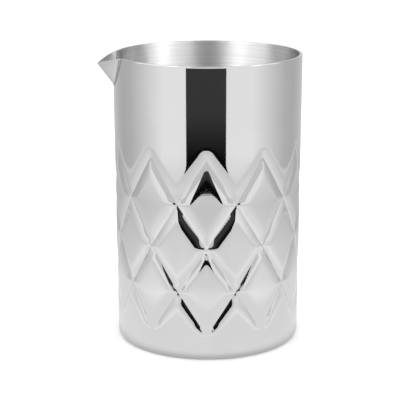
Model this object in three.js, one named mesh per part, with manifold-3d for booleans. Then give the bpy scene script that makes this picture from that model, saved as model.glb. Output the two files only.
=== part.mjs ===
import * as THREE from 'three';
import { mergeVertices } from 'three/addons/utils/BufferGeometryUtils.js';
import Module from 'manifold-3d';

const wasm = await Module();
wasm.setup();

// Sizes of the tin in millimetres, +Z up, standing on z = 0, the beak pointing to -X
const HEIGHT = 138.4;
const RIM_RADIUS = 45;
const WALL_TAPER = 0.9;
const SHEET = 0.6;
const SEAT_GAP = 0.3;
const LIP_HEIGHT = 0.8;

// Foot of the shell, turned in under the tin
const FOOT_ROUND = 3;
const FOOT_RING_WIDTH = 6;

// Pressed diamond lattice: apexes round the wall, heights and groove section
const DIAMONDS = 10;
const LATTICE_TURN = -99.45;
const LATTICE_TOP = 95.5;
const LATTICE_BOTTOM = 11.7;
const LATTICE_ROWS = 4;
const GROOVE_DEPTH = 1.1;
const GROOVE_REACH = 5.4;

// Liner: neck seated in the shell, shoulder, body clear of the grooves, rounded floor
const NECK_HEIGHT = 18;
const SHOULDER_HEIGHT = 14;
const AIR_GAP = 1.4;
const FLOOR_SPACE = 5;
const CUP_CORNER = 8;

// Bottom plate: lap on the foot ring and a pressed stiffening ring
const PLATE = 0.8;
const PLATE_LAP = 4;
const RIB_INNER = 20;
const RIB_OUTER = 28;
const RIB_RISE = 0.8;
const RIB_SLOPE = 1;

// Ring weld inside the foot
const BASE_WELD_LEG = 1;

// Beak: half angle of its root on the rim, tip beyond the wall and below the rim, keel root below the rim
const SPOUT_HALF_ANGLE = 17.75;
const SPOUT_REACH = 7.7;
const SPOUT_DROP = 3.7;
const SPOUT_DEPTH = 14.2;
const SPOUT_ARCH = 0.55;
const SPOUT_SHEET = 0.9;
const SEAM_SIZE = 0.35;

// Steps of the round and pressed shapes
const ROW_STEPS = 4;
const WALL_STEPS = DIAMONDS * 2 * ROW_STEPS;
const CUP_STEPS = 64;
const PLATE_STEPS = 48;
const ROUND_STEPS = 4;
const LIP_STEPS = 6;
const BEAK_STEPS = 16;
const LEVEL = 0.001;

// Sizes that follow from the ones above
const SHEET_TOP = HEIGHT - LIP_HEIGHT;
const BASE_RADIUS = RIM_RADIUS - WALL_TAPER;
const LATTICE_STEP = (LATTICE_TOP - LATTICE_BOTTOM) / LATTICE_ROWS;
const LATTICE_PITCH = 2 * Math.PI / DIAMONDS;
const WALL_RADIUS = (RIM_RADIUS + BASE_RADIUS) / 2;
const FOOT_FLAT = BASE_RADIUS - FOOT_ROUND;
const FOOT_INNER = FOOT_FLAT - FOOT_RING_WIDTH;
const PLATE_EDGE = FOOT_INNER + PLATE_LAP;
const PANEL_EDGE = FOOT_INNER - SEAT_GAP;
const DOUBLE_WALL = 2 * SHEET + SEAT_GAP;
const BODY_SPACE = 2 * SHEET + GROOVE_DEPTH + AIR_GAP;
const CUP_UNDERSIDE = SHEET + PLATE + FLOOR_SPACE;

/** Outer radius of the tapering wall at a height. */
function wallRadius(z) {
  return BASE_RADIUS + WALL_TAPER * z / HEIGHT;
}

/** Angle brought into the half turn to either side of zero. */
function wrapped(angle) {
  return angle - 2 * Math.PI * Math.round(angle / (2 * Math.PI));
}

/** Distance on the unrolled wall from a point to one straight groove of the lattice. */
function grooveDistance(angle, z, apex, lean) {
  const halfTurn = lean * LATTICE_ROWS * LATTICE_PITCH / 4;
  const halfRun = halfTurn * WALL_RADIUS;
  const halfFall = (LATTICE_TOP - LATTICE_BOTTOM) / 2;
  const across = wrapped(angle - apex - halfTurn) * WALL_RADIUS;
  const up = z - (LATTICE_TOP + LATTICE_BOTTOM) / 2;
  const length = halfRun * halfRun + halfFall * halfFall;
  const along = THREE.MathUtils.clamp((across * halfRun - up * halfFall) / length, -1, 1);
  return Math.hypot(across - along * halfRun, up + along * halfFall);
}

/** Depth pressed into the sheet: each wall of the nearest groove rises in a curve to the flat of a diamond. */
function pressedDepth(angle, z) {
  let nearest = GROOVE_REACH;
  for (let k = 0; k < DIAMONDS; k += 1) {
    const apex = THREE.MathUtils.degToRad(LATTICE_TURN) + k * LATTICE_PITCH;
    for (const lean of [-1, 1]) nearest = Math.min(nearest, grooveDistance(angle, z, apex, lean));
  }
  return GROOVE_DEPTH * (1 - nearest / GROOVE_REACH) ** 2;
}

/** Points of a quarter round from one direction to another, in turns of the profile plane. */
function roundPoints(r, z, radius, from, to) {
  return new THREE.EllipseCurve(r, z, radius, radius, from, to, to < from).getPoints(ROUND_STEPS);
}

/** One closed sheet turned round the axis from its profile, pressed inward where a depth is given. */
function turned(profile, steps, start = 0, depth = () => 0) {
  const rows = profile.length;
  const positions = [];
  const pressed = [];
  for (let i = 0; i < steps; i += 1) {
    const angle = start + 2 * Math.PI * i / steps;
    for (const { x, y } of profile) {
      const sunk = depth(angle, y);
      pressed.push(sunk);
      positions.push((x - sunk) * Math.cos(angle), (x - sunk) * Math.sin(angle), y);
    }
  }
  const index = [];
  for (let i = 0; i < steps; i += 1) {
    for (let j = 0; j < rows; j += 1) {
      const a = i * rows + j;
      const b = ((i + 1) % steps) * rows + j;
      const c = ((i + 1) % steps) * rows + (j + 1) % rows;
      const d = i * rows + (j + 1) % rows;
      const uneven = Math.abs(pressed[a] - pressed[c]) - Math.abs(pressed[b] - pressed[d]);
      const deeper = pressed[a] + pressed[c] > pressed[b] + pressed[d];
      if (uneven < -LEVEL || (uneven < LEVEL && deeper)) {
        index.push(a, b, c, a, c, d);
      } else {
        index.push(a, b, d, b, c, d);
      }
    }
  }
  const geometry = new THREE.BufferGeometry();
  geometry.setAttribute('position', new THREE.Float32BufferAttribute(positions, 3));
  geometry.setIndex(index);
  return geometry;
}

/** The body of a geometry, its points merged and its empty triangles left out. */
function body(geometry) {
  geometry.deleteAttribute('normal');
  geometry.deleteAttribute('uv');
  const merged = mergeVertices(geometry);
  const ids = merged.index.array;
  const kept = [];
  for (let i = 0; i < ids.length; i += 3) {
    const [a, b, c] = [ids[i], ids[i + 1], ids[i + 2]];
    if (a !== b && b !== c && c !== a) kept.push(a, b, c);
  }
  const vertProperties = new Float32Array(merged.attributes.position.array);
  return new wasm.Manifold(new wasm.Mesh({ numProp: 3, vertProperties, triVerts: new Uint32Array(kept) }));
}

/** A named piece with its own finish. */
function piece(name, solid, color, roughness) {
  const mesh = solid.getMesh();
  const geometry = new THREE.BufferGeometry();
  geometry.setAttribute('position', new THREE.BufferAttribute(mesh.vertProperties, mesh.numProp));
  geometry.setIndex(new THREE.BufferAttribute(mesh.triVerts, 1));
  geometry.computeVertexNormals();
  const finish = new THREE.MeshStandardMaterial({ color, roughness, metalness: 1 });
  const part = new THREE.Mesh(geometry, finish);
  part.name = name;
  return part;
}

/** Heights of the shell's wall from the foot to its top edge, on the rows of the lattice. */
function wallHeights() {
  const fall = LATTICE_STEP / ROW_STEPS;
  const count = LATTICE_ROWS * ROW_STEPS;
  const heights = [FOOT_ROUND];
  for (let j = -1; j <= count + ROW_STEPS - 1; j += 1) {
    const z = LATTICE_BOTTOM + j * fall;
    if (z > FOOT_ROUND + SHEET && z < SHEET_TOP - SHEET) heights.push(z);
  }
  heights.push(SHEET_TOP);
  return heights;
}

/** Embossed outer sheet with its foot turned in. */
function shellBody() {
  const heights = wallHeights();
  const outside = heights.map((z) => new THREE.Vector2(wallRadius(z), z));
  const inside = heights.map((z) => new THREE.Vector2(wallRadius(z) - SHEET, z)).reverse();
  const corner = wallRadius(FOOT_ROUND) - FOOT_ROUND;
  const footIn = roundPoints(corner, FOOT_ROUND, FOOT_ROUND - SHEET, 0, -Math.PI / 2).slice(1);
  const footOut = roundPoints(corner, FOOT_ROUND, FOOT_ROUND, -Math.PI / 2, 0).slice(0, -1);
  const ring = [new THREE.Vector2(FOOT_INNER, SHEET), new THREE.Vector2(FOOT_INNER, 0)];
  const start = THREE.MathUtils.degToRad(LATTICE_TURN);
  return body(turned([...outside, ...inside, ...footIn, ...ring, ...footOut], WALL_STEPS, start, pressedDepth));
}

/** Line of the liner from the axis up to the rim, set back from the shell by a distance at neck and body. */
function cupLine(neckSpace, bodySpace, floor, corner) {
  const neckFoot = HEIGHT - NECK_HEIGHT;
  const bodyTop = neckFoot - SHOULDER_HEIGHT;
  const bodyFoot = CUP_UNDERSIDE + CUP_CORNER;
  const shoulder = new THREE.CubicBezierCurve(
    new THREE.Vector2(wallRadius(bodyTop) - bodySpace, bodyTop),
    new THREE.Vector2(wallRadius(bodyTop) - bodySpace, bodyTop + SHOULDER_HEIGHT / 2),
    new THREE.Vector2(wallRadius(neckFoot) - neckSpace, neckFoot - SHOULDER_HEIGHT / 2),
    new THREE.Vector2(wallRadius(neckFoot) - neckSpace, neckFoot),
  );
  const foot = wallRadius(bodyFoot) - bodySpace;
  return [
    new THREE.Vector2(0, floor),
    ...roundPoints(foot - corner, bodyFoot, corner, -Math.PI / 2, 0),
    ...shoulder.getPoints(ROUND_STEPS),
    new THREE.Vector2(wallRadius(SHEET_TOP) - neckSpace, SHEET_TOP),
  ];
}

/** Plain liner with a rounded floor and a neck that meets the shell below the lip. */
function cupBody() {
  const outside = cupLine(SHEET + SEAT_GAP, BODY_SPACE - SHEET, CUP_UNDERSIDE, CUP_CORNER);
  const inside = cupLine(DOUBLE_WALL, BODY_SPACE, CUP_UNDERSIDE + SHEET, CUP_CORNER - SHEET);
  return body(turned([...outside, ...inside.reverse()], CUP_STEPS));
}

/** Rounded lip over the top edges of both sheets. */
function lipBody() {
  const middle = RIM_RADIUS - DOUBLE_WALL / 2;
  const top = new THREE.EllipseCurve(middle, SHEET_TOP, DOUBLE_WALL / 2, LIP_HEIGHT, 0, Math.PI);
  const start = THREE.MathUtils.degToRad(LATTICE_TURN);
  return body(turned(top.getPoints(LIP_STEPS), WALL_STEPS, start));
}

/** Bottom plate: flat panel with a pressed ring, stepped up to lap the foot. */
function plateBody() {
  const line = (lift, step) => [
    new THREE.Vector2(0, lift),
    new THREE.Vector2(RIB_INNER, lift),
    new THREE.Vector2(RIB_INNER + RIB_SLOPE, lift + RIB_RISE),
    new THREE.Vector2(RIB_OUTER - RIB_SLOPE, lift + RIB_RISE),
    new THREE.Vector2(RIB_OUTER, lift),
    new THREE.Vector2(PANEL_EDGE - step, lift),
    new THREE.Vector2(PANEL_EDGE - step, lift + SHEET),
    new THREE.Vector2(PLATE_EDGE, lift + SHEET),
  ];
  return body(turned([...line(0, 0), ...line(PLATE, PLATE).reverse()], PLATE_STEPS));
}

/** Ring weld in the corner between the plate's edge and the foot. */
function baseWeldBody() {
  const root = PLATE_EDGE + SEAT_GAP;
  const belly = BASE_WELD_LEG * Math.SQRT1_2;
  return body(turned([
    new THREE.Vector2(root, SHEET),
    new THREE.Vector2(root + BASE_WELD_LEG, SHEET),
    new THREE.Vector2(root + belly, SHEET + belly),
    new THREE.Vector2(root, SHEET + BASE_WELD_LEG),
  ], PLATE_STEPS));
}

/** Solid beak from its tip over the curved root on the wall to inside the tin, grown by a distance. */
function beakBody(growth) {
  const tip = new THREE.Vector3(-(RIM_RADIUS + SPOUT_REACH), 0, HEIGHT - SPOUT_DROP);
  const keel = new THREE.Vector3(SPOUT_REACH, 0, SPOUT_DROP - SPOUT_DEPTH).normalize();
  const outward = new THREE.Vector3(keel.z, 0, -keel.x).multiplyScalar(growth);
  const half = THREE.MathUtils.degToRad(SPOUT_HALF_ANGLE);
  const inward = 1 + 4 * DOUBLE_WALL / SPOUT_REACH;
  const points = [tip];
  for (let i = 0; i <= BEAK_STEPS; i += 1) {
    const across = 2 * i / BEAK_STEPS - 1;
    const z = HEIGHT - SPOUT_DEPTH * (1 - across * across);
    const r = wallRadius(z);
    const root = new THREE.Vector3(-r * Math.cos(across * half), r * Math.sin(across * half), z);
    points.push(root.sub(tip).multiplyScalar(inward).add(tip));
  }
  const last = BEAK_STEPS + 1;
  const raised = new THREE.Vector3(0, 0, SPOUT_DEPTH);
  points.push(tip.clone().add(raised), points[1].clone().add(raised), points[last].clone().add(raised));
  const [tipUp, firstUp, lastUp] = [last + 1, last + 2, last + 3];
  const index = [tipUp, firstUp, lastUp, 0, 1, firstUp, 0, firstUp, tipUp, 0, tipUp, lastUp, 0, lastUp, last];
  for (let i = 1; i <= BEAK_STEPS; i += 1) index.push(0, i + 1, i, firstUp, i, i + 1);
  index.push(firstUp, last, lastUp);
  const geometry = new THREE.BufferGeometry().setFromPoints(points);
  geometry.setIndex(index);
  geometry.translate(outward.x, outward.y, outward.z);
  return body(geometry);
}

/** Everything above the beak's top edge, which falls from the rim to the tip in a slight arch. */
function aboveBeakBody() {
  const tip = new THREE.Vector2(-(RIM_RADIUS + SPOUT_REACH), HEIGHT - SPOUT_DROP);
  const root = new THREE.Vector2(-RIM_RADIUS * Math.cos(THREE.MathUtils.degToRad(SPOUT_HALF_ANGLE)), HEIGHT);
  const crest = tip.clone().lerp(root, 0.5).add(new THREE.Vector2(0, 2 * SPOUT_ARCH));
  const beyond = tip.clone().add(tip.clone().sub(crest));
  const side = new THREE.Shape();
  side.moveTo(beyond.x, beyond.y);
  side.lineTo(tip.x, tip.y);
  side.quadraticCurveTo(crest.x, crest.y, root.x, root.y);
  side.lineTo(0, HEIGHT);
  side.lineTo(0, HEIGHT + 2 * SPOUT_DEPTH);
  side.lineTo(beyond.x, HEIGHT + 2 * SPOUT_DEPTH);
  const depth = 2 * RIM_RADIUS;
  const slab = new THREE.ExtrudeGeometry(side, { depth, bevelEnabled: false, curveSegments: ROUND_STEPS });
  slab.rotateX(Math.PI / 2);
  slab.translate(0, depth / 2, 0);
  return body(slab);
}

/** Solid core of the tin round the beak's root, grown beyond the shell by a distance. */
function coreBody(growth, top) {
  const foot = HEIGHT - 2 * SPOUT_DEPTH;
  const start = THREE.MathUtils.degToRad(LATTICE_TURN);
  return body(turned([
    new THREE.Vector2(0, foot),
    new THREE.Vector2(wallRadius(foot) + growth, foot),
    new THREE.Vector2(wallRadius(top) + growth, top),
    new THREE.Vector2(0, top),
  ], WALL_STEPS, start));
}

// Channel of the beak cut through both walls, the beak on the outside and the seam in the corner between them
const channel = beakBody(-SPOUT_SHEET);
const beakTop = HEIGHT + SPOUT_DEPTH;
const spout = beakBody(0).subtract(channel).subtract(coreBody(SEAT_GAP, beakTop)).subtract(aboveBeakBody());
const seamRoot = beakBody(SEAT_GAP + SEAM_SIZE).intersect(coreBody(SEAT_GAP + SEAM_SIZE, HEIGHT));
const seam = seamRoot.subtract(beakBody(SEAT_GAP)).subtract(coreBody(SEAT_GAP, beakTop));

const group = new THREE.Group();
group.name = 'mixing_tin';
group.add(
  piece('outer_shell', shellBody().subtract(channel), 0xd6d8da, 0.12),
  piece('inner_cup', cupBody().subtract(channel), 0xc4c6c8, 0.35),
  piece('base_plate', plateBody(), 0xcccecf, 0.3),
  piece('base_weld', baseWeldBody(), 0xb4b6b8, 0.4),
  piece('rim_weld', lipBody().subtract(channel), 0xd0d2d4, 0.18),
  piece('spout', spout, 0xd2d4d6, 0.15),
  piece('spout_weld', seam, 0xa9abad, 0.3),
);

export default group;
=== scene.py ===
"""Mixing tin: a double-walled polished steel tin with a pressed diamond lattice and a pouring beak.

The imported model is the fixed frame. Each class builds one sub-assembly over its CAD node and dresses it.
All sizes are in metres, +Z up, the tin standing on z = 0 with its beak pointing to -X.
"""

import logging
import math
from dataclasses import dataclass
from enum import Enum
from typing import Sequence

import bpy
import numpy as np
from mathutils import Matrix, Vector


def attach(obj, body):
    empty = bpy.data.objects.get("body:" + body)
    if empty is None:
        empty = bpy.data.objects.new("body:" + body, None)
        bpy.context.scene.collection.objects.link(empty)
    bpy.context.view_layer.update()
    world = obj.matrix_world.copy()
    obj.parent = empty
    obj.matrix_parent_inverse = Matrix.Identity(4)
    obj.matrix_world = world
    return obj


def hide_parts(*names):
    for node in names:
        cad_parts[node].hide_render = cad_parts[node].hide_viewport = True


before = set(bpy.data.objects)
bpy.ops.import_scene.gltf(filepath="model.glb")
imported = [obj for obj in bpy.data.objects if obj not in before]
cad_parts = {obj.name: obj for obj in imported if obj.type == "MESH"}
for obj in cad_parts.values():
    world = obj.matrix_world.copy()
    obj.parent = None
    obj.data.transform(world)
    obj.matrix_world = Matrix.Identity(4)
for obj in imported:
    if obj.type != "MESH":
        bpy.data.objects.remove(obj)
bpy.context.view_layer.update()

LOG = logging.getLogger("mixing_tin")
BODY = "root"
PHOTO_SIDE = math.radians(-8.75)
MERGE = 1e-6
ON_PLANE = 1e-5
SMOOTH_ANGLE = math.radians(30)
START_SIZE = 0.001
UNIT = (0.0, 1.0)

Obj = bpy.types.Object
Material = bpy.types.Material
Node = bpy.types.Node
Socket = bpy.types.NodeSocket
Point2 = tuple[float, float]
Point3 = tuple[float, float, float]


class Slot(Enum):
    """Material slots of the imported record."""

    POLISHED = "polished_steel"
    BRUSHED = "brushed_steel"
    BASE = "base_steel"
    SEAM = "seam_steel"


class Falloff(Enum):
    """How a sheet follows the points that are pressed."""

    VALLEY = "SHARP"
    SWELL = "SMOOTH"


# Sizes that the pieces share


@dataclass(frozen=True)
class TinSizes:
    """Sizes of the whole tin.

    Attributes are in metres. The wall tapers by a hair from the rim to the foot.
    """

    height: float = 0.1384
    rim_radius: float = 0.044999
    wall_taper: float = 0.0009
    sheet: float = 0.0006
    seat_gap: float = 0.0003
    lip_height: float = 0.0008
    columns: int = 320
    turn: float = math.radians(-99.45)

    def wall_radius(self, z: float) -> float:
        """Outer radius of the wall at a height."""
        return self.rim_radius - self.wall_taper * (1 - z / self.height)

    @property
    def sheet_top(self) -> float:
        """Height at which both sheets end under the lip."""
        return self.height - self.lip_height

    @property
    def double_wall(self) -> float:
        """Thickness of the two sheets and the gap between them at the rim."""
        return 2 * self.sheet + self.seat_gap


TIN = TinSizes()


# Modelling by hand


def deselect() -> None:
    """Leave edit mode with nothing selected."""
    if bpy.context.object is not None and bpy.context.object.mode != "OBJECT":
        bpy.ops.object.mode_set(mode="OBJECT")
    bpy.ops.object.select_all(action="DESELECT")


def make_active(obj: Obj) -> None:
    """Select one object alone and make it the active one."""
    deselect()
    obj.select_set(True)
    bpy.context.view_layer.objects.active = obj


def draw_line(name: str, points: Sequence[Point3]) -> Obj:
    """Draw a line of edges by extruding a point from place to place.

    Args:
        name: Name of the new object.
        points: Places along the line.

    Returns:
        The new object, open in edit mode with its last point selected.
    """
    deselect()
    bpy.ops.mesh.primitive_plane_add(size=START_SIZE)
    obj = bpy.context.object
    obj.name = name
    obj.data.name = name
    bpy.context.tool_settings.mesh_select_mode = (True, False, False)
    bpy.ops.object.mode_set(mode="EDIT")
    bpy.ops.mesh.select_all(action="SELECT")
    bpy.ops.mesh.merge(type="CENTER")
    bpy.ops.transform.translate(value=points[0])
    for before, after in zip(points, points[1:]):
        step = Vector(after) - Vector(before)
        bpy.ops.mesh.extrude_region_move(TRANSFORM_OT_translate={"value": step})
    return obj


def close_mesh() -> None:
    """Merge doubles, turn the faces outwards and leave edit mode."""
    bpy.ops.mesh.select_all(action="SELECT")
    bpy.ops.mesh.remove_doubles(threshold=MERGE)
    bpy.ops.mesh.normals_make_consistent(inside=False)
    bpy.ops.object.mode_set(mode="OBJECT")


def spin_profile(name: str, profile: Sequence[Point2], columns: int, closed: bool) -> Obj:
    """Spin a profile of (radius, height) points round the tin's axis.

    Args:
        name: Name of the new object.
        profile: Points of the profile in order.
        columns: Steps of the full turn.
        closed: Whether the profile runs back to its first point.

    Returns:
        The new object in object mode.
    """
    points = [(r * math.cos(TIN.turn), r * math.sin(TIN.turn), z) for r, z in profile]
    if closed:
        points.append(points[0])
    obj = draw_line(name, points)
    bpy.ops.mesh.select_all(action="SELECT")
    bpy.ops.mesh.spin(steps=columns, angle=2 * math.pi, center=(0, 0, 0), axis=(0, 0, 1))
    close_mesh()
    return obj


def places(obj: Obj) -> np.ndarray:
    """Places of an object's vertices as rows of three numbers."""
    co = np.zeros(len(obj.data.vertices) * 3, np.float32)
    obj.data.vertices.foreach_get("co", co)
    return co.reshape(-1, 3).astype(float)


def pick(obj: Obj, mask: np.ndarray) -> None:
    """Open a mesh in edit mode with only the masked vertices selected.

    Args:
        obj: The object to edit.
        mask: One truth value for each vertex.
    """
    make_active(obj)
    mesh = obj.data
    mesh.polygons.foreach_set("select", np.zeros(len(mesh.polygons), bool))
    mesh.edges.foreach_set("select", np.zeros(len(mesh.edges), bool))
    mesh.vertices.foreach_set("select", mask)
    bpy.context.tool_settings.mesh_select_mode = (True, False, False)
    bpy.ops.object.mode_set(mode="EDIT")


def apply_modifier(obj: Obj, kind: str, **values: object) -> None:
    """Add a modifier with these values and apply it.

    Args:
        obj: The object to change.
        kind: Blender's name of the modifier's type.
        values: Settings of the modifier.
    """
    make_active(obj)
    bpy.ops.object.modifier_add(type=kind)
    modifier = obj.modifiers[-1]
    for key, value in values.items():
        setattr(modifier, key, value)
    bpy.ops.object.modifier_apply(modifier=modifier.name)


def cut_away(obj: Obj, cutter: Obj) -> None:
    """Cut one closed shape out of another, the cut faces taking the cutter's finish."""
    apply_modifier(obj, "BOOLEAN", operation="DIFFERENCE", solver="EXACT", object=cutter,
                   material_mode="TRANSFER")


def discard(*objects: Obj) -> None:
    """Delete the shapes that only served as cutters."""
    for obj in objects:
        bpy.data.objects.remove(obj)


def smooth(obj: Obj) -> None:
    """Shade an object smooth, keeping its sharp edges."""
    make_active(obj)
    bpy.ops.object.shade_smooth_by_angle(angle=SMOOTH_ANGLE)


def arc(r: float, z: float, radius: float, start: float, end: float, steps: int) -> list[Point2]:
    """Points of a round in the profile plane.

    Args:
        r: Distance of the round's middle from the axis.
        z: Height of the round's middle.
        radius: Radius of the round.
        start: First direction in degrees.
        end: Last direction in degrees.
        steps: Number of steps.

    Returns:
        The points from the first to the last direction.
    """
    turns = [math.radians(start + (end - start) * i / steps) for i in range(steps + 1)]
    return [(r + radius * math.cos(t), z + radius * math.sin(t)) for t in turns]


# Shader nodes


class Nodes:
    """Short ways to place nodes in one tree."""

    def __init__(self, tree: bpy.types.NodeTree) -> None:
        """Keep the tree that is built."""
        self.tree = tree

    @classmethod
    def of(cls, owner: Material | bpy.types.World) -> "Nodes":
        """Start the tree of a material or a world afresh."""
        owner.use_nodes = True
        owner.node_tree.nodes.clear()
        return cls(owner.node_tree)

    def add(self, kind: str, **values: object) -> Node:
        """Place a node and set its properties.

        Args:
            kind: Blender's type name of the node.
            values: Properties of the node.

        Returns:
            The new node.
        """
        node = self.tree.nodes.new(kind)
        for key, value in values.items():
            setattr(node, key, value)
        return node

    def link(self, start: Socket, end: Socket) -> None:
        """Join two sockets."""
        self.tree.links.new(start, end)

    def math(self, operation: str, *inputs: object) -> Socket:
        """Place a Math node.

        Args:
            operation: Blender's name of the operation.
            inputs: Sockets or numbers for its inputs.

        Returns:
            The node's output.
        """
        node = self.add("ShaderNodeMath", operation=operation)
        self.fill(node, inputs)
        return node.outputs[0]

    def fill(self, node: Node, inputs: Sequence[object]) -> None:
        """Link or set a node's inputs in order.

        Args:
            node: The node to fill.
            inputs: Sockets, numbers or tuples.
        """
        for socket, value in zip(node.inputs, inputs):
            if isinstance(value, Socket):
                self.link(value, socket)
            else:
                socket.default_value = value

    def grey(self, level: Socket) -> Socket:
        """Make a brightness a colour.

        Args:
            level: The brightness.

        Returns:
            The grey.
        """
        node = self.add("ShaderNodeCombineColor")
        self.fill(node, (level, level, level))
        return node.outputs[0]

    def spread(self, value: Socket, before: Point2, after: Point2) -> Socket:
        """Bring a value from one range to another.

        Args:
            value: The socket to spread.
            before: Range of the value.
            after: Range of the result.

        Returns:
            The spread value.
        """
        node = self.add("ShaderNodeMapRange")
        self.fill(node, (value, *before, *after))
        return node.outputs[0]

    def ramp(self, value: Socket, stops: Sequence[Point2]) -> Socket:
        """Place a ramp of greys.

        Args:
            value: A value from 0 to 1.
            stops: Values and the brightness there, in order.

        Returns:
            The brightness as a colour.
        """
        node = self.add("ShaderNodeValToRGB")
        self.link(value, node.inputs[0])
        keys = node.color_ramp.elements
        while len(keys) < len(stops):
            keys.new(0.5)
        for key, (place, level) in zip(keys, stops):
            key.position = place
            key.color = (level, level, level, 1.0)
        return node.outputs[0]

    def noise(self, where: Socket, scale: float, detail: float) -> Socket:
        """Place a noise texture.

        Args:
            where: Coordinates.
            scale: Scale of the noise.
            detail: Octaves of the noise.

        Returns:
            The noise value.
        """
        node = self.add("ShaderNodeTexNoise")
        self.link(where, node.inputs["Vector"])
        node.inputs["Scale"].default_value = scale
        node.inputs["Detail"].default_value = detail
        return node.outputs[0]

    def where(self) -> Socket:
        """Place of the shaded point in its object."""
        return self.add("ShaderNodeTexCoord").outputs["Object"]

    def surface(self, shader: Node, kind: str = "ShaderNodeOutputMaterial") -> None:
        """Finish the tree with its output.

        Args:
            shader: The node that makes the surface.
            kind: Blender's type name of the output.
        """
        self.link(shader.outputs[0], self.add(kind).inputs["Surface"])


class EffectGroups:
    """Surface effects that more than one finish uses, each built once as a node group.

    Attributes:
        coarse: Scale and detail of the wide lines.
        fine: Scale and detail of the narrow lines.
        line_range: Noise values that become no line and a full line.
        cloud: Detail and distortion of the haze.
        cloud_range: Noise values that become no haze and full haze.
    """

    coarse: Point2 = (0.45, 2.0)
    fine: Point2 = (1.7, 3.0)
    line_range: Point2 = (0.32, 0.68)
    cloud: Point2 = (4.0, 0.6)
    cloud_range: Point2 = (0.35, 0.7)

    def __init__(self) -> None:
        """Build all groups."""
        self.lines = self._lines()
        self.haze = self._haze()

    @staticmethod
    def _start(name: str, inputs: dict[str, float], output: str) -> tuple[Nodes, Node, Node]:
        """Open a group with named sockets.

        Args:
            name: Name of the group.
            inputs: Names and values of the number inputs.
            output: Name of the number output.

        Returns:
            The node helper, the group's input node and its output node.
        """
        tree = bpy.data.node_groups.new(name, "ShaderNodeTree")
        for key, value in inputs.items():
            socket = tree.interface.new_socket(name=key, in_out="INPUT", socket_type="NodeSocketFloat")
            socket.default_value = value
        tree.interface.new_socket(name=output, in_out="OUTPUT", socket_type="NodeSocketFloat")
        nodes = Nodes(tree)
        return nodes, nodes.add("NodeGroupInput"), nodes.add("NodeGroupOutput")

    def _lines(self) -> bpy.types.NodeTree:
        """Fine lines that run round the tin, as a belt or a lathe leaves them.

        Returns:
            The group, with a mask from 0 to 1 called Line.
        """
        nodes, start, end = self._start("fine_lines", {"Around": 14.0, "Across": 2600.0}, "Line")
        around = start.outputs["Around"]
        scale = nodes.add("ShaderNodeCombineXYZ")
        nodes.fill(scale, (around, around, start.outputs["Across"]))
        stretched = nodes.add("ShaderNodeVectorMath", operation="MULTIPLY")
        nodes.fill(stretched, (nodes.where(), scale.outputs[0]))
        coarse = nodes.noise(stretched.outputs[0], *self.coarse)
        fine = nodes.noise(stretched.outputs[0], *self.fine)
        mixed = nodes.math("MULTIPLY", nodes.math("ADD", coarse, fine), 0.5)
        nodes.link(nodes.spread(mixed, self.line_range, UNIT), end.inputs["Line"])
        return nodes.tree

    def _haze(self) -> bpy.types.NodeTree:
        """Soft clouds that wiping and handling leave on polished metal.

        Returns:
            The group, with a mask from 0 to 1 called Haze.
        """
        nodes, start, end = self._start("wiping_haze", {"Size": 40.0}, "Haze")
        cloud = nodes.add("ShaderNodeTexNoise")
        nodes.link(nodes.where(), cloud.inputs["Vector"])
        nodes.link(start.outputs["Size"], cloud.inputs["Scale"])
        cloud.inputs["Detail"].default_value = self.cloud[0]
        cloud.inputs["Distortion"].default_value = self.cloud[1]
        nodes.link(nodes.spread(cloud.outputs[0], self.cloud_range, UNIT), end.inputs["Haze"])
        return nodes.tree


# Finishes


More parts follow.
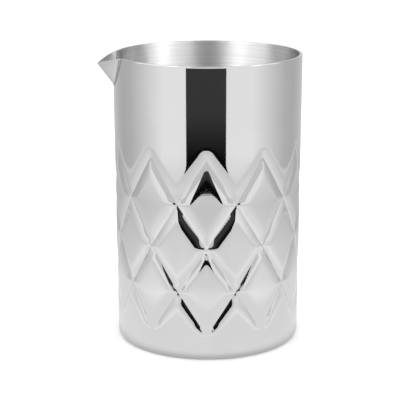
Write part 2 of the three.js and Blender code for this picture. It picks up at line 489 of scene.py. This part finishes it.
@dataclass(frozen=True)
class SteelFinish:
    """A steel finish made from fine lines and wiping haze.

    Attributes:
        name: Name of the material.
        light: Brightness of the clean metal.
        dark: Brightness at the bottom of a line or under haze.
        smooth: Roughness of the clean metal.
        rough: Roughness of the dullest places.
        around: How fast the lines change along their run.
        across: How close together the lines lie.
        haze_size: Scale of the haze clouds.
        line_share: Share of the lines in the brightness, the rest being haze.
        relief: Strength of the lines' bump.
        stretch: How far the gloss is drawn out across the lines.
        edge: Share of its gloss that the metal keeps at a flat view.
        line_height: Height of a line in the bump.
        quarter: Turn of the drawn-out gloss from along the lines to across them.
    """

    name: str
    light: float
    dark: float
    smooth: float
    rough: float
    around: float
    across: float
    haze_size: float
    line_share: float
    relief: float
    stretch: float = 0.0
    edge: float = 1.0
    line_height: float = 0.0001
    quarter: float = 0.25

    def material(self, groups: EffectGroups) -> Material:
        """Build the material.

        Args:
            groups: The shared surface effects.

        Returns:
            The finished material.
        """
        made = bpy.data.materials.new(self.name)
        nodes = Nodes.of(made)
        lines = nodes.add("ShaderNodeGroup", node_tree=groups.lines)
        lines.inputs["Around"].default_value = self.around
        lines.inputs["Across"].default_value = self.across
        haze = nodes.add("ShaderNodeGroup", node_tree=groups.haze)
        haze.inputs["Size"].default_value = self.haze_size
        by_line = nodes.math("MULTIPLY", lines.outputs["Line"], self.line_share)
        by_haze = nodes.math("MULTIPLY", haze.outputs["Haze"], 1 - self.line_share)
        wear = nodes.math("ADD", by_line, by_haze)
        shade = nodes.spread(wear, UNIT, (self.light, self.dark))
        bump = nodes.add("ShaderNodeBump")
        bump.inputs["Strength"].default_value = self.relief
        bump.inputs["Distance"].default_value = self.line_height
        nodes.link(lines.outputs["Line"], bump.inputs["Height"])
        steel = nodes.add("ShaderNodeBsdfPrincipled")
        steel.inputs["Metallic"].default_value = 1.0
        steel.inputs["Specular Tint"].default_value = (self.edge, self.edge, self.edge, 1.0)
        nodes.link(nodes.grey(shade), steel.inputs["Base Color"])
        gloss = nodes.spread(wear, UNIT, (self.smooth, self.rough))
        nodes.link(gloss, steel.inputs["Roughness"])
        nodes.link(bump.outputs[0], steel.inputs["Normal"])
        if self.stretch > 0:
            steel.inputs["Anisotropic"].default_value = self.stretch
            steel.inputs["Anisotropic Rotation"].default_value = self.quarter
            run = nodes.add("ShaderNodeTangent", direction_type="RADIAL", axis="Z")
            nodes.link(run.outputs[0], steel.inputs["Tangent"])
        nodes.surface(steel)
        return made


POLISHED = SteelFinish(
    name="polished_steel", light=0.75, dark=0.715, smooth=0.025, rough=0.06, around=30.0, across=1800.0,
    haze_size=38.0, line_share=0.25, relief=0.006)
BRUSHED = SteelFinish(
    name="brushed_steel", light=0.75, dark=0.57, smooth=0.34, rough=0.48, around=10.0, across=2400.0,
    haze_size=30.0, line_share=0.8, relief=0.10, stretch=0.8, edge=0.4)
# Darker brushed steel for the inside of the beak and the cut faces of its notch: painted shade in the beak's
# channel.
CHANNEL_PAINTED_SHADE = SteelFinish(
    name="brushed_beak_steel_painted_shade", light=0.44, dark=0.34, smooth=0.34, rough=0.44, around=40.0, across=1600.0,
    haze_size=40.0, line_share=0.7, relief=0.05)
BASE = SteelFinish(
    name="turned_base_steel", light=0.62, dark=0.52, smooth=0.22, rough=0.36, around=60.0, across=60.0,
    haze_size=45.0, line_share=0.4, relief=0.03)
SEAM = SteelFinish(
    name="weld_seam_steel", light=0.44, dark=0.32, smooth=0.28, rough=0.48, around=900.0, across=900.0,
    haze_size=160.0, line_share=0.5, relief=0.12)


def dress(obj: Obj, made: Material) -> None:
    """Give an object one material."""
    obj.data.materials.clear()
    obj.data.materials.append(made)


def fit(obj: Obj, node: str) -> None:
    """Put a finished piece in the place of its CAD node.

    Args:
        obj: The finished piece.
        node: The CAD node it stands for.
    """
    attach(obj, BODY)
    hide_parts(node)
    LOG.info("%s stands for %s: %d faces", obj.name, node, len(obj.data.polygons))


# Sub-assemblies of the tin


@dataclass
class PouringBeak:
    """The folded beak, the channel it needs through both walls, and the seam round its root.

    Attributes:
        half_angle: Half of the turn that the beak's root takes up at the rim.
        reach: How far the tip stands out from the rim.
        drop: How far the tip lies below the rim.
        depth: How far the root runs down the wall.
        arch: Rise of the top edge over a straight line from tip to rim.
        swell: Rise of each side over a straight line from tip to rim.
        run_in: How far the solid runs on into the tin, where 1 is the root.
        seam_thin: Thickness of the seam at the keel, as a share of that at the rim.
        rings: Places of the beak's rings, from 1 at the root to 0 at the tip.
    """

    half_angle: float = math.radians(17.75)
    reach: float = 0.0077
    drop: float = 0.0037
    depth: float = 0.0142
    arch: float = 0.0003
    swell: float = 0.0013
    sheet: float = 0.0009
    run_in: float = 1.78
    clearance: float = 0.00002
    seam_radius: float = 0.00075
    seam_lift: float = 0.00012
    seam_end: float = 0.985
    seam_thin: float = 0.12
    seam_sides: int = 3
    rings: tuple[float, ...] = (1.0, 0.8, 0.6, 0.4, 0.25, 0.12)
    edge_round: float = 0.00012
    edge_angle: float = math.radians(50)
    edge_segments: int = 2
    overhang: float = 0.2
    steps: int = 56

    @property
    def tip(self) -> Vector:
        """Place of the beak's point."""
        return Vector((-(TIN.rim_radius + self.reach), 0.0, TIN.height - self.drop))

    def root(self, across: float, lift: float = 0.0) -> Vector:
        """A point of the beak's root line on the wall.

        Args:
            across: From -1 at one end of the root to 1 at the other.
            lift: Distance in front of the wall.

        Returns:
            The point.
        """
        z = TIN.height - self.depth * (1 - across * across)
        r = TIN.wall_radius(z) + lift
        turn = across * self.half_angle
        return Vector((-r * math.cos(turn), r * math.sin(turn), z))

    def swelling(self, share: float) -> float:
        """How much wider than straight sides the beak is, at a share of the way from tip to root."""
        root_width = TIN.rim_radius * math.sin(self.half_angle)
        return 1 + self.swell * math.sin(math.pi * min(share, 1.0)) / (share * root_width)

    def block(self, name: str, growth: float) -> Obj:
        """A solid beak from its tip to inside the tin, open upwards.

        Args:
            name: Name of the new object.
            growth: Distance that its keel is moved outwards.

        Returns:
            The closed solid.
        """
        keel = Vector((self.reach, 0.0, self.drop - self.depth)).normalized()
        shift = Vector((keel.z, 0.0, -keel.x)) * growth
        tip = self.tip + shift
        ends = []
        for i in range(self.steps + 1):
            ruling = self.root(2 * i / self.steps - 1) - self.tip
            ends.append(tuple(tip + ruling * self.run_in))
        obj = draw_line(name, ends)
        bpy.ops.mesh.select_all(action="SELECT")
        bpy.ops.mesh.edge_face_add()
        before = self.run_in
        for share in self.rings:
            scale = share / before
            wider = scale * self.swelling(share) / self.swelling(before)
            bpy.ops.mesh.extrude_region_move()
            bpy.ops.transform.resize(value=(scale, wider, scale), center_override=tip)
            before = share
        bpy.ops.mesh.extrude_region_move()
        bpy.ops.transform.resize(value=(0, 0, 0), center_override=tip)
        close_mesh()
        edge = (Vector(ends[0]) - tip).normalized()
        away = places(obj) - np.array(tip)
        pick(obj, np.abs(away[:, 2] * edge.x - away[:, 0] * edge.z) < ON_PLANE)
        bpy.ops.mesh.extrude_region_move(TRANSFORM_OT_translate={"value": (0, 0, self.depth)})
        close_mesh()
        return obj

    def sky(self) -> Obj:
        """Everything above the beak's top edge, which falls to the tip in a slight arch."""
        low = Vector((self.tip.x, self.tip.z))
        high = Vector((-TIN.rim_radius * math.cos(self.half_angle), TIN.height))
        line = [low + (low - high) * self.overhang]
        for i in range(self.steps + 1):
            t = i / self.steps
            line.append(low.lerp(high, t) + Vector((0.0, 4 * self.arch * t * (1 - t))))
        line.append(Vector((0.0, TIN.height)))
        line.append(Vector((0.0, TIN.height + 2 * self.depth)))
        line.append(Vector((line[0].x, TIN.height + 2 * self.depth)))
        obj = draw_line("beak_sky", [(p.x, -TIN.rim_radius, p.y) for p in line])
        bpy.ops.mesh.select_all(action="SELECT")
        bpy.ops.mesh.edge_face_add()
        bpy.ops.mesh.extrude_region_move(TRANSFORM_OT_translate={"value": (0, 2 * TIN.rim_radius, 0)})
        close_mesh()
        return obj

    def core(self) -> Obj:
        """The tin itself as a plain block, a hair wider than its wall."""
        low = TIN.height - 2 * self.depth
        high = TIN.height + self.depth
        profile = [
            (0.0, low),
            (TIN.wall_radius(low) + self.clearance, low),
            (TIN.wall_radius(high) + self.clearance, high),
            (0.0, high),
        ]
        return spin_profile("beak_core", profile, TIN.columns, closed=False)

    def channel(self) -> Obj:
        """The space that the beak's sheet encloses."""
        return self.block("beak_channel", -self.sheet)

    def build(self, channel: Obj, made: Material) -> Obj:
        """Cut the beak out of its blocks.

        Args:
            channel: The space inside the beak.
            made: Finish of its outside.

        Returns:
            The beak.
        """
        obj = self.block("beak", 0.0)
        dress(obj, made)
        core = self.core()
        sky = self.sky()
        for cutter in (core, sky):
            dress(cutter, made)
        for cutter in (channel, core, sky):
            cut_away(obj, cutter)
        discard(core, sky)
        apply_modifier(obj, "BEVEL", width=self.edge_round, segments=self.edge_segments, limit_method="ANGLE",
                       angle_limit=self.edge_angle)
        smooth(obj)
        return obj

    def build_seam(self, channel: Obj, made: Material) -> Obj:
        """Lay the seam bead along the beak's root, flush with the inside of the beak.

        Args:
            channel: The space inside the beak.
            made: Finish of the bead.

        Returns:
            The bead.
        """
        spots = np.linspace(-self.seam_end, self.seam_end, 2 * self.steps + 1)
        obj = draw_line("beak_seam", [tuple(self.root(u, self.seam_lift)) for u in spots])
        bpy.ops.object.mode_set(mode="OBJECT")
        bpy.ops.object.convert(target="CURVE")
        obj = bpy.context.object
        for across, point in zip(spots, obj.data.splines[0].points):
            point.radius = self.seam_thin + (1 - self.seam_thin) * abs(across)
        obj.data.bevel_depth = self.seam_radius
        obj.data.bevel_resolution = self.seam_sides
        obj.data.use_fill_caps = True
        bpy.ops.object.convert(target="MESH")
        obj = bpy.context.object
        bpy.ops.object.mode_set(mode="EDIT")
        close_mesh()
        dress(obj, made)
        cut_away(obj, channel)
        smooth(obj)
        return obj


@dataclass
class OuterShell:
    """The polished outer sheet with its pressed lattice and turned-in foot.

    Attributes:
        diamonds: Diamonds round the tin.
        rows: Half diamonds from the lattice's top to its bottom.
        groove_reach: Distance over which the sheet bends into a groove.
        run_outs: Rows by which the passes of a groove stop short of the lowest crossing.
        crossing_lift: How much shallower the grooves are where they cross.
        row_steps: Rows of the fine mesh in one half diamond.
        row_slack: Share of a row by which a vertex may lie off it.
    """

    foot_round: float = 0.003
    foot_inner: float = 0.0351
    diamonds: int = 10
    lattice_top: float = 0.0955
    lattice_bottom: float = 0.0117
    rows: int = 4
    groove_depth: float = 0.0011
    groove_reach: float = 0.0054
    run_outs: tuple[int, ...] = (1, 3, 5)
    crossing_lift: float = 0.0005
    row_slack: float = 0.02
    row_steps: int = 16
    plain_rows: int = 12
    foot_steps: int = 8

    @property
    def fall(self) -> float:
        """Height of one row of the fine mesh."""
        return (self.lattice_top - self.lattice_bottom) / (self.rows * self.row_steps)

    def heights(self) -> list[float]:
        """Heights of the wall's rows from the foot to the top edge."""
        count = self.rows * self.row_steps
        margin = math.ceil(self.groove_reach / self.fall)
        lattice = [self.lattice_bottom + j * self.fall for j in range(-margin, count + margin + 1)]
        wall = [z for z in lattice if z > self.foot_round + self.fall / 2]
        rise = (TIN.sheet_top - wall[-1]) / self.plain_rows
        return wall + [wall[-1] + rise * k for k in range(1, self.plain_rows + 1)]

    def profile(self) -> list[Point2]:
        """Line of the sheet's outside from the foot ring to the top edge."""
        corner = TIN.wall_radius(self.foot_round) - self.foot_round
        foot = arc(corner, self.foot_round, self.foot_round, -90, 0, self.foot_steps)
        wall = [(TIN.wall_radius(z), z) for z in self.heights()]
        return [(self.foot_inner, 0.0)] + foot + wall

    def lattice_places(self, obj: Obj) -> tuple[np.ndarray, np.ndarray, np.ndarray]:
        """Find where the vertices lie in the lattice.

        Args:
            obj: The plain sheet.

        Returns:
            Each vertex's row counted down from the lattice's top, or -1 off the rows, and whether a line that
            falls or a line that rises to the right runs through it.
        """
        co = places(obj)
        half = TIN.columns // (2 * self.diamonds)
        column = (np.arctan2(co[:, 1], co[:, 0]) - TIN.turn) / (2 * math.pi) * TIN.columns
        exact = (self.lattice_top - co[:, 2]) / self.fall
        row = np.round(exact)
        row[np.abs(row - exact) > self.row_slack] = -1
        steps = row * half / self.row_steps
        falling = (row >= 0) & (np.round(column - steps) % (2 * half) == 0)
        rising = (row >= 0) & (np.round(column + steps) % (2 * half) == 0)
        return row, falling, rising

    def press(self, obj: Obj, mask: np.ndarray, depth: float, falloff: Falloff) -> None:
        """Press vertices inwards, drawing the sheet round them along.

        Args:
            obj: The sheet.
            mask: One truth value for each vertex.
            depth: Depth at these vertices.
            falloff: How the sheet follows.
        """
        squeeze = 1 - depth / TIN.wall_radius(TIN.height / 2)
        pick(obj, mask)
        bpy.ops.transform.resize(value=(squeeze, squeeze, 1), center_override=(0, 0, 0),
                                 use_proportional_edit=True, proportional_edit_falloff=falloff.value,
                                 proportional_size=self.groove_reach)
        deselect()

    def press_lattice(self, obj: Obj) -> None:
        """Press the grooves in equal passes, each ending higher, so that they run out at the foot.

        Where grooves cross, they are then lifted, because a pressed sheet is shallower there.

        Args:
            obj: The plain sheet.
        """
        row, falling, rising = self.lattice_places(obj)
        lowest = self.rows * self.row_steps
        grooves = (falling | rising) & (row <= lowest - self.run_outs[0])
        pick(obj, grooves)
        bpy.ops.mesh.vert_connect()
        deselect()
        depth = self.groove_depth / len(self.run_outs)
        for short in self.run_outs:
            self.press(obj, grooves & (row <= lowest - short), depth, Falloff.VALLEY)
        crossings = falling & rising & (row > 0) & (row < lowest)
        self.press(obj, crossings, -self.crossing_lift, Falloff.SWELL)

    def build(self, channel: Obj, made: Material) -> Obj:
        """Spin the sheet, press the lattice, give it thickness and cut the beak's notch.

        Args:
            channel: The space inside the beak.
            made: Finish of the sheet.

        Returns:
            The shell.
        """
        obj = spin_profile("outer_sheet", self.profile(), TIN.columns, closed=False)
        self.press_lattice(obj)
        apply_modifier(obj, "SOLIDIFY", thickness=TIN.sheet, offset=-1.0)
        dress(obj, made)
        cut_away(obj, channel)
        smooth(obj)
        return obj


@dataclass
class InnerCup:
    """The brushed liner that hangs in the shell from its neck."""

    neck: float = 0.018
    shoulder: float = 0.014
    set_back: float = 0.0037
    underside: float = 0.0064
    corner: float = 0.008
    columns: int = 256
    round_steps: int = 12

    def line(self, neck_space: float, body_space: float, floor: float, corner: float) -> list[Point2]:
        """One side of the liner from the axis up to the rim.

        Args:
            neck_space: Distance from the shell's outside at the neck.
            body_space: Distance from the shell's outside at the body.
            floor: Height of the floor.
            corner: Radius of the rounded corner.

        Returns:
            The points of the side.
        """
        neck_foot = TIN.height - self.neck
        body_top = neck_foot - self.shoulder
        body_foot = self.underside + self.corner
        foot = TIN.wall_radius(body_foot) - body_space
        points = [(0.0, floor), (foot / 2, floor)]
        points += arc(foot - corner, body_foot, corner, -90, 0, self.round_steps)
        for i in range(self.round_steps + 1):
            t = i / self.round_steps
            ease = t * t * (3 - 2 * t)
            z = body_top + self.shoulder * t
            points.append((TIN.wall_radius(z) - body_space + (body_space - neck_space) * ease, z))
        points.append((TIN.wall_radius(TIN.sheet_top) - neck_space, TIN.sheet_top))
        return points

    def build(self, channel: Obj, made: Material) -> Obj:
        """Spin the liner and cut the beak's notch.

        Args:
            channel: The space inside the beak.
            made: Finish of the liner.

        Returns:
            The liner.
        """
        outside = self.line(TIN.sheet, self.set_back - TIN.sheet, self.underside, self.corner)
        floor = self.underside + TIN.sheet
        inside = self.line(TIN.double_wall, self.set_back, floor, self.corner - TIN.sheet)
        obj = spin_profile("liner", outside + inside[::-1], self.columns, closed=False)
        dress(obj, made)
        cut_away(obj, channel)
        smooth(obj)
        return obj


@dataclass
class RimLip:
    """The lip that closes both sheets at the rim, polished outside and on top and brushed inside."""

    edge_round: float = 0.00015
    steps: int = 5

    def build(self, channel: Obj, made: Material, brushed: Material) -> Obj:
        """Spin the lip and open it at the beak.

        Args:
            channel: The space inside the beak.
            made: Finish of the outside and the top.
            brushed: Finish of the inside.

        Returns:
            The lip.
        """
        inner = TIN.rim_radius - TIN.double_wall
        shoulder = TIN.height - self.edge_round
        profile = [(TIN.wall_radius(TIN.sheet_top), TIN.sheet_top)]
        profile += arc(TIN.rim_radius - self.edge_round, shoulder, self.edge_round, 0, 90, self.steps)
        profile += arc(inner + self.edge_round, shoulder, self.edge_round, 90, 180, self.steps)
        profile.append((inner, TIN.sheet_top))
        obj = spin_profile("rim_lip", profile, TIN.columns, closed=True)
        dress(obj, made)
        obj.data.materials.append(brushed)
        for face in obj.data.polygons:
            if face.center.xy.length < inner + self.edge_round / 2:
                face.material_index = 1
        cut_away(obj, channel)
        smooth(obj)
        return obj


@dataclass
class BottomPlate:
    """The pressed plate that closes the foot."""

    thickness: float = 0.0008
    edge: float = 0.0391
    panel_edge: float = 0.0348
    rib_inner: float = 0.020
    rib_outer: float = 0.028
    rib_rise: float = 0.0008
    rib_steps: int = 6
    columns: int = 160

    def line(self, lift: float, step: float) -> list[Point2]:
        """One face of the plate from the axis to its edge.

        Args:
            lift: Height of the face.
            step: How far the step to the lap is set in.

        Returns:
            The points of the face.
        """
        points = [(0.0, lift), (self.rib_inner / 2, lift)]
        width = (self.rib_outer - self.rib_inner) / self.rib_steps
        for i in range(self.rib_steps + 1):
            rise = self.rib_rise * math.sin(math.pi * i / self.rib_steps) ** 2
            points.append((self.rib_inner + width * i, lift + rise))
        points.append((self.panel_edge - step, lift))
        points.append((self.panel_edge - step, lift + TIN.sheet))
        points.append((self.edge, lift + TIN.sheet))
        return points

    def build(self) -> Obj:
        """The plate, spun from its two faces."""
        below = self.line(0.0, 0.0)
        above = self.line(self.thickness, self.thickness)
        obj = spin_profile("bottom_plate", below + above[::-1], self.columns, closed=False)
        smooth(obj)
        return obj


# Studio


@dataclass
class PhotoCamera:
    """The camera at the photograph's place."""

    distance: float = 0.658524
    height: float = 0.232
    tilt: float = 0.24643
    focal_pixels: float = 1393.79
    middle_pixel: float = 207.749
    picture: float = 400.0
    sensor: float = 36.0
    near: float = 0.01

    def build(self) -> None:
        """Place the camera and make it the scene's own."""
        data = bpy.data.cameras.new("photo_camera")
        data.sensor_width = self.sensor
        data.lens = self.focal_pixels / self.picture * self.sensor
        data.shift_x = (self.picture / 2 - self.middle_pixel) / self.picture
        data.clip_start = self.near
        obj = bpy.data.objects.new("photo_camera", data)
        bpy.context.scene.collection.objects.link(obj)
        obj.location = (
            self.distance * math.sin(PHOTO_SIDE),
            -self.distance * math.cos(PHOTO_SIDE),
            self.height,
        )
        obj.rotation_euler = (math.pi / 2 - self.tilt, 0.0, PHOTO_SIDE)
        bpy.context.scene.camera = obj


@dataclass(frozen=True)
class Card:
    """A standing card bent round the tin.

    Attributes:
        name: Name of the card.
        sides: Degrees to the right of the camera at which it starts and ends.
        distance: Distance from the axis.
        heights: Heights of its lower and upper edge.
    """

    name: str
    sides: Point2
    distance: float
    heights: Point2


@dataclass
class Studio:
    """Pale floor, white surroundings, and the cards and lamps that the metal mirrors.

    Attributes:
        grain: How far the floor's paint strays from its brightness.
        floor_levels: Distances from the axis, and how bright the metal mirrors the floor there: a painted
            shadow round the foot, then painted lighter and darker rings.
        floor_turns: Degrees away from the camera's side, and a factor on that brightness, which paints the
            mirrored floor lighter or darker by direction.
        turn_starts: Distances between which the factor sets in.
        sky_level: Light of the surroundings on the floor.
        mirrored_sky: Brightness of the surroundings that the metal mirrors.
        overhead: The same straight above.
        sky_rise: Rise of a direction at which the change to overhead starts and ends.
        black_heights: Heights on the front card between which its brightness changes.
        black_levels: Its brightness at these heights.
        grey_levels: Degrees away from the camera's side, and the grey screen's brightness there.
    """

    floor_size: float = 6.0
    floor_drop: float = 0.0001
    floor_white: float = 0.8
    grain: float = 0.005
    grain_scale: float = 60.0
    grain_detail: float = 2.0
    # The metal sees the floor only as this glow: the first three stops paint a shadow round the foot, the
    # later ones paint lighter and darker rings.
    floor_levels: tuple[Point2, ...] = (
        (0.0445, 0.58), (0.048, 0.78), (0.055, 0.90), (0.105, 0.89),
        (0.13, 1.00), (0.155, 0.89), (0.31, 0.74), (0.47, 0.95))
    floor_turns: tuple[Point2, ...] = ((8.0, 0.97), (28.0, 1.04), (54.0, 1.05), (150.0, 0.74))
    turn_starts: Point2 = (0.09, 0.135)
    sky_level: float = 1.6
    mirrored_sky: float = 0.70
    overhead: float = 0.48
    sky_rise: Point2 = (0.25, 0.6)
    black_heights: Point2 = (0.026, 0.058)
    black_levels: Point2 = (0.004, 0.046)
    grey_levels: tuple[Point2, ...] = (
        (52.0, 1.0), (85.0, 0.70), (102.0, 0.57), (120.0, 0.52), (147.0, 0.62), (180.0, 0.66))
    drape_level: float = 0.28
    strip_level: float = 11.8
    box_level: float = 5.7
    front_card: Card = Card("front_card", (-24.3, 20.6), 0.341, (0.0025, 0.0965))
    grey_screen: Card = Card("grey_screen", (52.0, 308.0), 0.40, (0.0, 0.16))
    drapes: tuple[Card, ...] = (
        Card("right_drape", (94.0, 145.0), 0.45, (0.15, 0.7)),
        Card("left_drape", (-145.0, -94.0), 0.45, (0.15, 0.7)))
    strips: tuple[Card, ...] = (
        Card("left_strip", (-50.0, -36.0), 0.88, (0.32, 0.62)),
        Card("right_strip", (54.0, 67.0), 0.88, (0.32, 0.62)))
    boxes: tuple[Card, ...] = (
        Card("left_box", (-104.0, -20.0), 0.9, (0.32, 0.62)),
        Card("right_box", (18.0, 100.0), 0.9, (0.32, 0.62)))
    card_steps: int = 48

    def spot(self, azimuth: float, distance: float, height: float) -> Point3:
        """A place round the tin.

        Args:
            azimuth: Degrees to the right of the camera as the camera sees them.
            distance: Distance from the axis.
            height: Height above the floor.

        Returns:
            The place.
        """
        turn = PHOTO_SIDE + math.radians(azimuth)
        return (distance * math.sin(turn), -distance * math.cos(turn), height)

    def screen(self, card: Card, made: Material) -> None:
        """Stand a card up that only reflections see.

        Args:
            card: The card's place and size.
            made: Its material.
        """
        low, high = card.heights
        turns = np.linspace(*card.sides, self.card_steps + 1)
        obj = draw_line(card.name, [self.spot(turn, card.distance, low) for turn in turns])
        bpy.ops.mesh.select_all(action="SELECT")
        bpy.ops.mesh.extrude_region_move(TRANSFORM_OT_translate={"value": (0, 0, high - low)})
        bpy.ops.object.mode_set(mode="OBJECT")
        dress(obj, made)
        obj.visible_camera = False
        obj.visible_diffuse = False
        obj.visible_shadow = False
        obj.visible_transmission = False
        LOG.info("card %s", obj.name)

    def glow(self, name: str, level: float) -> Material:
        """A card's even glow.

        Args:
            name: Name of the material.
            level: Brightness, where 1 is white.

        Returns:
            The material.
        """
        made, _, light = self._glow_nodes(name)
        light.inputs["Strength"].default_value = level
        return made

    def fading_glow(self, name: str, heights: Point2, levels: Point2) -> Material:
        """A card's glow that changes with the height above the floor.

        Args:
            name: Name of the material.
            heights: Heights between which it changes.
            levels: Brightness at these heights.

        Returns:
            The material.
        """
        made, nodes, light = self._glow_nodes(name)
        parts = nodes.add("ShaderNodeSeparateXYZ")
        nodes.link(nodes.where(), parts.inputs[0])
        nodes.link(nodes.spread(parts.outputs["Z"], heights, levels), light.inputs["Strength"])
        return made

    def turning_glow(self, name: str, stops: Sequence[Point2]) -> Material:
        """A screen's glow that changes with the direction from the tin, alike to the left and right.

        Args:
            name: Name of the material.
            stops: Degrees away from the camera's side and brightness there, in order.

        Returns:
            The material.
        """
        made, nodes, light = self._glow_nodes(name)
        nodes.link(self._turn_ramp(nodes, stops), light.inputs["Color"])
        return made

    def _turn_ramp(self, nodes: Nodes, stops: Sequence[Point2]) -> Socket:
        """Brightness by the direction from the tin.

        Args:
            nodes: The tree to build in.
            stops: Degrees away from the camera's side and brightness there, in order.

        Returns:
            The brightness as a colour.
        """
        parts = nodes.add("ShaderNodeSeparateXYZ")
        nodes.link(nodes.where(), parts.inputs[0])
        back = nodes.math("MULTIPLY", parts.outputs["Y"], -1.0)
        turn = nodes.math("SUBTRACT", nodes.math("ARCTAN2", parts.outputs["X"], back), PHOTO_SIDE)
        folded = nodes.math("ARCCOSINE", nodes.math("COSINE", turn))
        share = nodes.math("DIVIDE", folded, math.pi)
        return nodes.ramp(share, [(degrees / 180, level) for degrees, level in stops])

    @staticmethod
    def _glow_nodes(name: str) -> tuple[Material, Nodes, Node]:
        """Start a glowing material.

        Args:
            name: Name of the material.

        Returns:
            The material, its tree and its emission node.
        """
        made = bpy.data.materials.new(name)
        nodes = Nodes.of(made)
        light = nodes.add("ShaderNodeEmission")
        light.inputs["Color"].default_value = (1.0, 1.0, 1.0, 1.0)
        nodes.surface(light)
        return made, nodes, light

    def floor(self) -> None:
        """Lay the pale floor."""
        # Painted white for the camera; the metal sees a glow instead, with a painted shadow round the foot
        # and painted lighter and darker rings.
        deselect()
        bpy.ops.mesh.primitive_plane_add(size=self.floor_size, location=(0, 0, -self.floor_drop))
        obj = bpy.context.object
        obj.name = "pale_floor"
        made = bpy.data.materials.new("pale_floor")
        nodes = Nodes.of(made)
        paint = nodes.add("ShaderNodeBsdfDiffuse")
        where = nodes.where()
        grain = nodes.noise(where, self.grain_scale, self.grain_detail)
        shade = nodes.spread(grain, UNIT, (self.floor_white - self.grain, self.floor_white + self.grain))
        nodes.link(nodes.grey(shade), paint.inputs["Color"])
        far = nodes.add("ShaderNodeVectorMath", operation="LENGTH")
        nodes.link(where, far.inputs[0])
        away = far.outputs["Value"]
        # Glow that only reflections see: painted shadow round the foot, painted rings, painted lighter or
        # darker by direction.
        mirrored = nodes.ramp(away, self.floor_levels)
        turned = nodes.math("SUBTRACT", self._turn_ramp(nodes, self.floor_turns), 1.0)
        share = nodes.spread(away, self.turn_starts, UNIT)
        factor = nodes.math("ADD", nodes.math("MULTIPLY", turned, share), 1.0)
        light = nodes.add("ShaderNodeEmission")
        nodes.link(nodes.math("MULTIPLY", mirrored, factor), light.inputs["Strength"])
        mix = nodes.add("ShaderNodeMixShader")
        glossy = nodes.add("ShaderNodeLightPath").outputs["Is Glossy Ray"]
        nodes.fill(mix, (glossy, paint.outputs[0], light.outputs[0]))
        nodes.surface(mix)
        dress(obj, made)

    def cards(self) -> None:
        """Set up the black card in front, the grey screen round the back, and the drapes and lamps."""
        self.screen(self.front_card, self.fading_glow("black_card", self.black_heights, self.black_levels))
        self.screen(self.grey_screen, self.turning_glow("grey_screen", self.grey_levels))
        lamps = (
            (self.drapes, self.glow("side_drape", self.drape_level)),
            (self.strips, self.glow("strip_light", self.strip_level)),
            (self.boxes, self.glow("soft_box", self.box_level)),
        )
        for cards, made in lamps:
            for card in cards:
                self.screen(card, made)

    def world(self) -> None:
        """Surround the tin with white, dimmer overhead for what the metal mirrors."""
        made = bpy.data.worlds.new("white_studio")
        bpy.context.scene.world = made
        nodes = Nodes.of(made)
        where = nodes.add("ShaderNodeTexCoord").outputs["Generated"]
        parts = nodes.add("ShaderNodeSeparateXYZ")
        nodes.link(where, parts.inputs[0])
        sky = nodes.spread(parts.outputs["Z"], self.sky_rise, (self.mirrored_sky, self.overhead))
        path = nodes.add("ShaderNodeLightPath")
        glossy = path.outputs["Is Glossy Ray"]
        plain = nodes.math("MAXIMUM", path.outputs["Is Camera Ray"], path.outputs["Is Transmission Ray"])
        for_floor = nodes.math("SUBTRACT", 1.0, nodes.math("MAXIMUM", glossy, plain))
        mirrored = nodes.math("MULTIPLY", glossy, sky)
        lit = nodes.math("MULTIPLY", for_floor, self.sky_level)
        level = nodes.math("ADD", plain, nodes.math("ADD", mirrored, lit))
        back = nodes.add("ShaderNodeBackground")
        nodes.link(nodes.grey(level), back.inputs["Color"])
        nodes.surface(back, "ShaderNodeOutputWorld")

    def build(self) -> None:
        """Set up the whole studio."""
        self.floor()
        self.cards()
        self.world()
        bpy.context.scene.view_settings.view_transform = "Standard"


def main() -> None:
    """Build the camera, the studio and the tin, piece by piece."""
    logging.basicConfig(level=logging.INFO, format="%(name)s: %(message)s")
    PhotoCamera().build()
    Studio().build()
    groups = EffectGroups()
    polished = POLISHED.material(groups)
    brushed = BRUSHED.material(groups)
    base = BASE.material(groups)
    seam = SEAM.material(groups)
    beak_maker = PouringBeak()
    channel = beak_maker.channel()
    # The channel's darker finish, which is painted shade, passes to every cut face inside the beak.
    dress(channel, CHANNEL_PAINTED_SHADE.material(groups))
    shell = OuterShell().build(channel, polished)
    fit(shell, "outer_shell")
    liner = InnerCup().build(channel, brushed)
    fit(liner, "inner_cup")
    lip = RimLip().build(channel, polished, brushed)
    fit(lip, "rim_weld")
    beak = beak_maker.build(channel, polished)
    fit(beak, "spout")
    bead = beak_maker.build_seam(channel, seam)
    fit(bead, "spout_weld")
    plate = BottomPlate().build()
    dress(plate, base)
    fit(plate, "base_plate")
    dress(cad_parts["base_weld"], seam)
    discard(channel)
    deselect()


if __name__ == "__main__":
    main()
